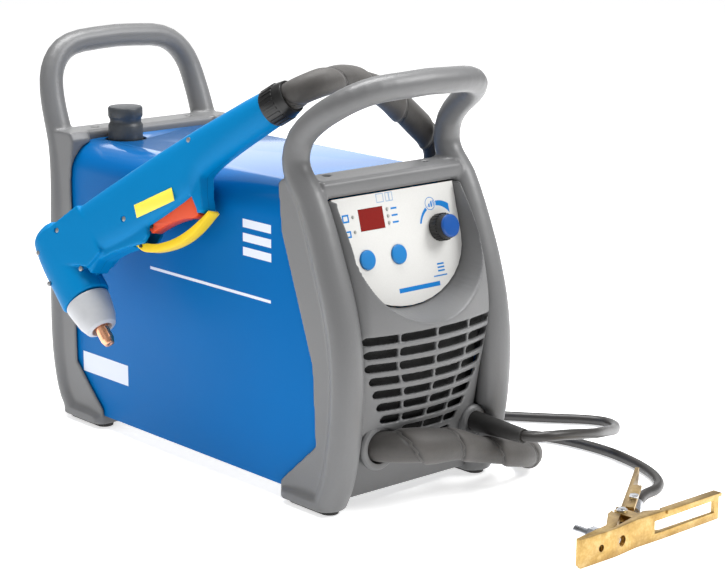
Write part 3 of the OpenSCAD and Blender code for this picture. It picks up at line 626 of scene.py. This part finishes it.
LABEL = grained("torch_label", "label_yellow", (0.90, 0.76, 0.05), (0.95, 0.83, 0.12), 500.0, 0.40, 0.00003)
TRIGGER = grained("trigger_plastic", "trigger_red",
                  (0.72, 0.060, 0.012), (0.80, 0.095, 0.020), 500.0, 0.36, 0.00005)
GUARD = grained("guard_plastic", "guard_yellow",
                (0.90, 0.58, 0.008), (0.95, 0.68, 0.02), 500.0, 0.34, 0.00005)
CUP = grained("shield_cup", "cup_grey", (0.40, 0.41, 0.43), (0.56, 0.57, 0.59), 260.0, 0.40, 0.00010)
RESIN = grained("head_insulator", "head_insulator", (0.40, 0.35, 0.28), (0.50, 0.45, 0.36), 300.0, 0.5)
REGULATOR_GREY = grained("regulator_plastic", "reg_grey",
                         (0.030, 0.034, 0.038), (0.050, 0.055, 0.060), 420.0, 0.44)
FAN_BLACK = grained("fan_plastic", "fan_black", (0.015, 0.015, 0.016), (0.028, 0.028, 0.029), 420.0, 0.5)
SWITCH_RED = grained("switch_plastic", "switch_red",
                     (0.42, 0.012, 0.010), (0.52, 0.022, 0.016), 420.0, 0.34)
BOARD = grained("solder_mask", "board_green", (0.010, 0.120, 0.045), (0.022, 0.190, 0.075), 160.0, 0.34)
AIR_LINE = grained("air_line", "hose_blue", (0.03, 0.12, 0.36), (0.05, 0.17, 0.44), 200.0, 0.35)
CAN_SLEEVE = grained("capacitor_sleeve", "cap_navy", (0.01, 0.02, 0.10), (0.02, 0.03, 0.15), 300.0, 0.3)
FERRITE = grained("ferrite", "core_dark", (0.05, 0.05, 0.055), (0.09, 0.09, 0.10), 300.0, 0.55)
COPPER = metal("turned_copper", "copper", (0.72, 0.30, 0.16), (0.90, 0.48, 0.30), 0.26, grain=700.0)
WINDING = metal("enamelled_wire", "winding", (0.45, 0.17, 0.06), (0.62, 0.27, 0.10), 0.34, grain=500.0)
BRASS = yellow_brass()
FITTING = metal("machined_brass", "brass_fitting", (0.60, 0.42, 0.16), (0.74, 0.55, 0.24), 0.28)
PLATED = metal("plated_steel", "plated_steel", (0.50, 0.52, 0.56), (0.72, 0.74, 0.78), 0.28)
SCREW = metal("screw_steel", "screw_steel", (0.35, 0.35, 0.35), (0.60, 0.60, 0.61), 0.34)
SPRING = metal("spring_wire", "spring_steel", (0.10, 0.065, 0.045), (0.22, 0.14, 0.10), 0.42)
ZINC = metal("zinc_sheet", "zinc_sheet", (0.42, 0.43, 0.45), (0.60, 0.61, 0.63), 0.36, cloud=60.0)
ALLOY = metal("extruded_alloy", "alloy", (0.52, 0.53, 0.55), (0.66, 0.67, 0.68), 0.34, (0.1, 1, 1))
WIRE = metal("guard_wire", "wire_steel", (0.45, 0.45, 0.46), (0.62, 0.62, 0.63), 0.3)


# ---------------------------------------------------------------- the two cords

LEAD_D = 0.026
LEAD_ROUTE = [
    (-46, -196, 55), (-44, -217, 55), (-33, -233, 56), (-12, -241, 55), (14, -243, 50),
    (42, -245, 42), (68, -249, 34.5), (94, -249, 27), (117, -239, 19.5), (131, -220, 14.5),
    (137, -196, 13), (136, -160, 13), (131, -110, 13), (128, -50, 13), (127, 20, 13), (129, 90, 13),
    (132, 160, 13), (133, 200, 13), (133, 235, 13),
]
LEAD_END_ROUTE = [
    (270, 98, 39), (230, 97, 39), (190, 92, 41), (155, 78, 50), (128, 54, 74), (115, 24, 108),
    (111, -12, 150), (110, -50, 192), (110, -88, 230), (109, -114, 256), (104, -127, 277),
    (93, -131, 296), (76, -131, 312), (57, -133, 327.5), (35, -135.5, 342), (12, -139, 352.5),
    (-12, -143, 360.5), (-36, -149, 364.5), (-56, -152, 363), (-68.5, -145, 357.5),
    (-73.9, -136, 351.8), (-79.9, -118.5, 340.3),
]
LEAD_COIL = (270, 235)
EARTH_D = 0.0095
EARTH_ROUTE = [
    (65, -205, 57), (65, -232, 57), (65, -258, 57), (65, -276, 57), (66, -291, 58),
    (75, -302, 59.5), (91, -306, 58.5), (113, -305, 54.5), (138, -299, 48.5), (160, -288, 42.5),
    (186, -272, 34.5), (213, -254, 25.5), (240, -233, 16), (262, -214, 10), (274, -198, 6.5),
    (276, -184, 5.3), (268, -168, 5), (253, -151, 5), (235, -130, 5), (217, -108, 5), (200, -87, 5),
    (183, -68, 5), (167, -51, 5),
]
EARTH_END_ROUTE = [
    (213, -70.3, 14.3), (188, -72, 15), (166, -82, 11), (153, -103, 5.5), (156, -128, 5),
    (172, -149, 5), (190, -168, 5), (202, -192, 5), (208, -222, 5), (209, -255, 5), (203, -290, 5),
    (192, -320, 5), (176, -343, 5.5), (155, -358, 8), (132, -366, 10.5), (116, -373.5, 11.5),
    (101.4, -382.4, 11.5),
]
EARTH_COIL = (213, -5)


def coil_points(centre, rings, start, turn_points, ease=0.3):
    """Turns wound clockwise. rings lists (radius, height) of each turn, and the last may be cut short."""
    points = []
    angle = start
    for i, (r, z, share) in enumerate(rings):
        following = rings[min(i + 1, len(rings) - 1)]
        count = max(int(turn_points * share), 2)
        for k in range(count):
            t = k / turn_points
            move = max(0.0, (t - (1 - ease)) / ease) if share >= 1.0 and i < len(rings) - 1 else 0.0
            move = move * move * (3 - 2 * move)
            out = r + (following[0] - r) * move
            turn = math.radians(angle - 360 * t)
            points.append((centre[0] + out * math.cos(turn), centre[1] + out * math.sin(turn),
                           z + (following[1] - z) * move))
        angle -= 360 * share
    return points


def length_of(line):
    return sum((b - a).length for a, b in zip(line, line[1:]))


def make_torch_lead():
    turns = coil_points(LEAD_COIL, [(137, 13, 1.0), (111, 13, 1.0), (111, 39, 1.0), (137, 39, 0.75)], 180, 24)
    route = LEAD_ROUTE[:-1] + turns + LEAD_END_ROUTE
    line = evenly(spline([mm(*p) for p in route], 6), 0.002)
    total = length_of(line)
    wrap = 0.047

    laps = []

    def radius(share, angle, s):
        base = LEAD_D / 2 - 0.0002
        front = math.exp(-((s - 0.065) / 0.040) ** 2) * 0.0030
        swell = (0.0004 * math.sin(s * 37.0) + 0.0004 * math.sin(s * 91.0 + angle)
                 + 0.0003 * math.sin(s * 57 - 2 * angle))
        step = ((s / wrap) - angle / (2 * math.pi)) % 1.0
        laps.append(step)
        lap = 0.0020 * (1.0 - step) - 0.0010 - 0.0018 * math.exp(-(step / 0.06) ** 2)
        calm = min(1.0, s / 0.02, (total - s) / 0.05)
        return base + (front + swell + lap) * max(calm, 0.0) - 0.0004

    lead = tube("torch_lead_sleeve", line, radius, 32, floor=0.0003)
    # The lap attribute also drives the cloth finish's painted highlight on each raised lap edge and its
    # painted shade in the wrap seams.
    layer = lead.data.attributes.new("lap", "FLOAT", "POINT")
    for item, step in zip(layer.data, laps):
        item.value = step
    place(lead, CASE, CLOTH, ("torch_lead", "torch_lead_coil", "torch_lead_end"), angle=50)
    path = [tuple(p) for p in line[::3]] + [tuple(line[-1])]


def make_earth_cable():
    rings = [(65.2, 4.8, 1.0), (55.7, 4.8, 1.0), (46.2, 4.8, 1.0),
             (46.2, 14.3, 1.0), (55.7, 14.3, 1.0), (65.3, 14.3, 0.875)]
    turns = coil_points(EARTH_COIL, rings, 225, 18)
    route = EARTH_ROUTE[:-1] + turns + EARTH_END_ROUTE
    line = evenly(spline([mm(*p) for p in route], 6), 0.0025)
    total = length_of(line)
    cable = tube("earth_cable_sheath", line, lambda share, a, s: EARTH_D / 2 - 0.00005, 20, floor=0.0002)
    place(cable, CASE, CABLE, ("earth_cable", "earth_coil", "earth_cable_end"), angle=60)
    path = [tuple(p) for p in line[::3]] + [tuple(line[-1])]


make_torch_lead()
make_earth_cable()


# ---------------------------------------------------------------- pieces that keep their CAD shape

dress("cover", BLUE_COAT, 0.0003)
dress("base_tray", ZINC)
dress("rear_panel", ZINC, 0.0002)
dress("rubber_feet", RUBBER, 0.0006)
dress("frame_screws", SCREW, 0.0002)
dress("control_panel", FILM, angle=4)
dress("control_board", BOARD)
dress("potentiometer", PLATED, 0.0002)
dress("current_knob", KNOB, 0.0003)
dress("current_knob_cap", CAP, 0.0003)
dress("mode_button", BUTTON, 0.0002)
dress("gas_button", BUTTON, 0.0002)
dress("torch_port", GREY, 0.0004)
dress("earth_gland", GREY, 0.0004)
dress("earth_sleeve", RUBBER, 0.0004)
dress("clamp_fixed_jaw", BRASS, 0.0004)
dress("clamp_moving_jaw", BRASS, 0.0004)
dress("clamp_pin", PLATED, 0.0003)
dress("clamp_spring", SPRING, 0.0003)
dress("clamp_lug_bolt", PLATED, 0.0003)
dress("torch_screws", SCREW, 0.0002)
dress("torch_label", LABEL, 0.0001)
dress("torch_collar", KNOB, 0.0003)
dress("torch_head", RESIN, 0.0003)
dress("electrode", COPPER, 0.0003)
dress("cutting_tip", COPPER, 0.0003)
dress("shield_cup", CUP, 0.0004)
dress("trigger_switch", FAN_BLACK, 0.0002)
dress("regulator", ALLOY, 0.0003)
dress("regulator_spindle", PLATED, 0.0002)
dress("regulator_knob", REGULATOR_GREY, 0.0004)
dress("solenoid_valve", FAN_BLACK, 0.0004)
dress("air_hose", AIR_LINE)
dress("air_inlet", FITTING, 0.0003)
dress("fan_frame", FAN_BLACK, 0.0003)
dress("fan_rotor", FAN_BLACK, 0.0002)
dress("fan_guard", WIRE)
dress("mains_switch", FAN_BLACK, 0.0003)
dress("mains_switch_knob", SWITCH_RED, 0.0005)
dress("mains_gland", RUBBER, 0.0003)
dress("heat_sink", ALLOY, 0.0002)
dress("power_board", BOARD)
dress("capacitors", CAN_SLEEVE, 0.0006)
dress("transformer", FERRITE, 0.0004)
dress("output_choke", WINDING)
dress("torch_trigger", TRIGGER, 0.0012)
dress("torch_guard", GUARD, 0.0010)


# ---------------------------------------------------------------- moulded frames and the front grille

def softened(node, voxel, rounds, finish):
    """The CAD piece as one moulded skin with rounded corners."""
    piece = bpy.data.objects.new(node + "_moulding", NODES[node].data.copy())
    bpy.context.scene.collection.objects.link(piece)
    moulded(piece, voxel, rounds)
    return place(piece, CASE, finish, (node,), angle=60)


GRILLE_MIDDLE = [(9, -203), (60, -222), (105, -236.5), (130, -241), (155, -243), (175, -243), (190, -242.5),
                 (205, -241), (217, -239), (227, -237), (240, -232), (257, -222), (268, -214)]
GRILLE_EDGE = [(9, -203), (60, -211), (105, -218.5), (130, -224), (155, -230), (175, -229), (190, -226),
               (205, -222), (217, -218.5), (227, -215), (240, -208), (257, -197.5), (268, -190)]
SLOT_HALF = [(55, 36), (80, 49), (105, 60), (130, 70), (154.5, 74)]
RIB_AT = [(55, 24), (105, 31), (130, 39), (154.5, 40)]
FORWARD = axes_matrix((0, 0, 0), (1, 0, 0), (0, 0, 1), (0, -1, 0))


def grille_y(x, z):
    far = abs(x)
    middle, edge = smooth_lookup(z, GRILLE_MIDDLE), smooth_lookup(z, GRILLE_EDGE)
    return middle + (edge - middle) * (far / 77) ** 2 + 9 * (max(far - 68, 0) / 10) ** 2


def between(name, front, back, columns, rows):
    """A solid between the surfaces y = front(x, z) and y = back(x, z), in millimetres."""
    wide, high = len(columns), len(rows)
    layer = wide * high
    verts = [mm(x, surface(x, z), z) for surface in (front, back) for z in rows for x in columns]
    faces = []
    for a in (j * wide + i for j in range(high - 1) for i in range(wide - 1)):
        faces.append((a, a + 1, a + 1 + wide, a + wide))
        faces.append((layer + a, layer + a + wide, layer + a + 1 + wide, layer + a + 1))
    edge = (list(range(wide)) + [j * wide + wide - 1 for j in range(1, high)]
            + [(high - 1) * wide + i for i in range(wide - 2, -1, -1)]
            + [j * wide for j in range(high - 2, 0, -1)])
    for a, b in zip(edge, edge[1:] + edge[:1]):
        faces.append((a, b, layer + b, layer + a))
    return solid(name, verts, faces)


def recess(name, grow):
    """The space in front of the control panel, which widens forward."""
    rings = []
    for height, half, deep in ((-3, 70.5, 53), (34, 73, 71.5), (60, 76, 80)):
        outline = [((half + grow) * math.cos(a), 2.5 + (deep + grow) * math.sin(a))
                   for a in (math.pi * (1 + k / 40) for k in range(41))]
        outline += [(half + grow, 26), (half + grow, 56), (0, 56), (-half - grow, 56), (-half - grow, 26)]
        rings.append([PANEL_AT + (PANEL_X * x + PANEL_Y * y + PANEL_N * height) / 1000 for x, y in outline])
    return solid(name, *skin(rings))


def make_grille():
    columns = [-78 + 2 * i for i in range(79)]
    rows = [9 + 3.5 * i for i in range(75)]
    shell = between("front_grille", grille_y, lambda x, z: grille_y(x, z) + 3.5, columns, rows)
    tools = [recess("opening", 0.2)]
    for i in range(9):
        z = 154.5 - 12.4 * i
        half = lookup(z, SLOT_HALF)
        left = -half if z > 74 else -25
        outline = [(left + 3.7 + 3.7 * math.cos(a), z + 3.7 * math.sin(a))
                   for a in (math.pi * (0.5 + k / 8) for k in range(9))]
        outline += [(half - 2, z - 3.7), (half + 1.5, z + 3.7)]
        tools.append(prism("slot", [(x / 1000, h / 1000) for x, h in outline], 0.15, 0.27, FORWARD))
    for x, wide in ((-46, 17.2), (65, 12.2)):
        tools.append(lathe("hole", [(wide / 1000, 0.15), (wide / 1000, 0.27)],
                           Matrix.Translation(mm(x, 0, 55 if x < 0 else 57)) @ FORWARD))
    cut(shell, *tools)
    wall = recess("recess_wall", 3.2)
    behind = between("behind", lambda x, z: grille_y(x, z) + 0.3, lambda x, z: -170, columns, rows)
    cut(wall, behind, operation="INTERSECT")
    cut(wall, recess("opening", 0.2))
    parts = [shell, wall]
    for side in (-1, 0, 1):
        rings = []
        for z in range(50, 163, 4):
            x = side * smooth_lookup(z, RIB_AT)
            y = grille_y(x, z)
            corners = ((-1.2, 1.4), (1.2, 1.4), (1.2, 5), (-1.2, 5))
            rings.append([mm(x + dx, y + dy, z) for dx, dy in corners])
        parts.append(solid("rib", *skin(rings)))
    grille = joined("front_grille", *parts)
    moulded(grille, 0.0011, 3)
    place(grille, CASE, GREY, ("front_fascia",), angle=55)
    filter_mat = between("dust_filter", lambda x, z: grille_y(x, z) + 9, lambda x, z: grille_y(x, z) + 11.5,
                         [-75 + 5 * i for i in range(31)], [44 + 4 * i for i in range(29)])
    for x, wide in ((-46, 22), (65, 16)):
        cut(filter_mat, lathe("hole", [(wide / 1000, 0.15), (wide / 1000, 0.27)],
                              Matrix.Translation(mm(x, 0, 55 if x < 0 else 57)) @ FORWARD))
    place(filter_mat, CASE, FOAM)


make_grille()
softened("front_frame", 0.0016, 6, GREY)
softened("rear_frame", 0.0016, 6, GREY)


# ---------------------------------------------------------------- the torch's body

TORCH_TOP = [(30, -14.5), (45, -16), (110, -18), (190, -18.5), (250, -17.8), (276, -16.5)]
TORCH_BOTTOM = [(30, 36), (46, 35), (66, 36), (94, 38), (114, 37), (150, 35.5), (172, 33), (180, 27),
                (190, 22), (214, 18.8), (276, 16.5)]
TORCH_HALF = [(30, 17.1), (110, 17.3), (190, 17.1), (240, 16.8), (276, 16.3)]
TORCH_SQUARE = [(30, 3.6), (150, 3.6), (190, 3.0), (230, 2.3), (276, 2.0)]
HEAD_AXIS = Vector((0.2225, 0.9749))
HEAD_HALF = [(-21, 3.0), (-19, 9), (-14, 15), (-4, 20), (20, 23.2), (45, 23), (62, 22.6), (64, 21.6)]
TORCH_SCREWS = [(18, -5), (-12, 4), (32, 40), (-10, 36), (97, 21), (192, -10)]


def in_torch(u, v, w):
    return TORCH_AT + (TORCH_U * u + TORCH_V * v + TORCH_W * w) / 1000


def oval(half_v, half_w, power, count=48):
    """Points of a squared-off oval."""
    points = []
    for k in range(count):
        c, s = math.cos(2 * math.pi * k / count), math.sin(2 * math.pi * k / count)
        points.append((half_v * math.copysign(abs(c) ** (2 / power), c),
                       half_w * math.copysign(abs(s) ** (2 / power), s)))
    return points


def torch_slab(name, outline, half_width):
    """An outline in the torch's own plane, as thick as twice half_width, in millimetres."""
    flat = [(u / 1000, v / 1000) for u, v in outline]
    return prism(name, flat, -half_width / 1000, half_width / 1000,
                 axes_matrix(TORCH_AT, TORCH_U, TORCH_V, TORCH_W))


def make_torch_body():
    rings = []
    for i in range(83):
        u = 30 + 3 * i
        top, bottom = smooth_lookup(u, TORCH_TOP), smooth_lookup(u, TORCH_BOTTOM)
        rings.append([in_torch(u, (top + bottom) / 2 + v, w)
                      for v, w in oval((bottom - top) / 2, lookup(u, TORCH_HALF), lookup(u, TORCH_SQUARE))])
    handle = solid("torch_body", *skin(rings))
    rings = []
    for i in range(86):
        s = -21 + i
        half = smooth_lookup(s, HEAD_HALF)
        depth = min(half, 17.3 if s < 30 else 17.3 + (s - 30) * 0.06)
        rings.append([in_torch(HEAD_AXIS.x * s + HEAD_AXIS.y * v, HEAD_AXIS.y * s - HEAD_AXIS.x * v, w)
                      for v, w in oval(half, depth, 2.7)])
    head = solid("head", *skin(rings))
    neck = torch_slab("neck", ((0, -11), (50, -15.5), (60, 36), (40, 42), (30, 36), (0, 20)), 17.2)
    fin = torch_slab("fin", ((30, 20), (37, 47), (50, 40), (70, 41), (92, 45), (105, 48), (113, 44),
                             (116, 34), (116, 20)), 11.5)
    heel = torch_slab("heel", ((168, 20), (171, 34), (172, 51), (178, 51), (181, 38), (188, 20)), 9.8)
    body = joined("torch_body", handle, head, neck, fin, heel)
    moulded(body, 0.0011, 9)
    tools = [torch_slab("trigger_room", ((109, 22), (171.5, 22), (171.5, 60), (109, 60)), 7.2),
             torch_slab("guard_room", ((90, 39), (112, 39), (112, 60), (90, 60)), 7.0)]
    for u, v in TORCH_SCREWS:
        tools.append(lathe("counterbore", [(0.0031, -0.0230), (0.0031, -0.01625)],
                           axes_matrix(in_torch(u, v, 0), TORCH_U, TORCH_V, TORCH_W), 24))
    cut(body, *tools)
    place(body, CASE, TORCH_BLUE, ("torch_shell_left", "torch_shell_right"), angle=40)


make_torch_body()

dress("display_window", DISPLAY, angle=4)
dress("indicator_lights", LENS)
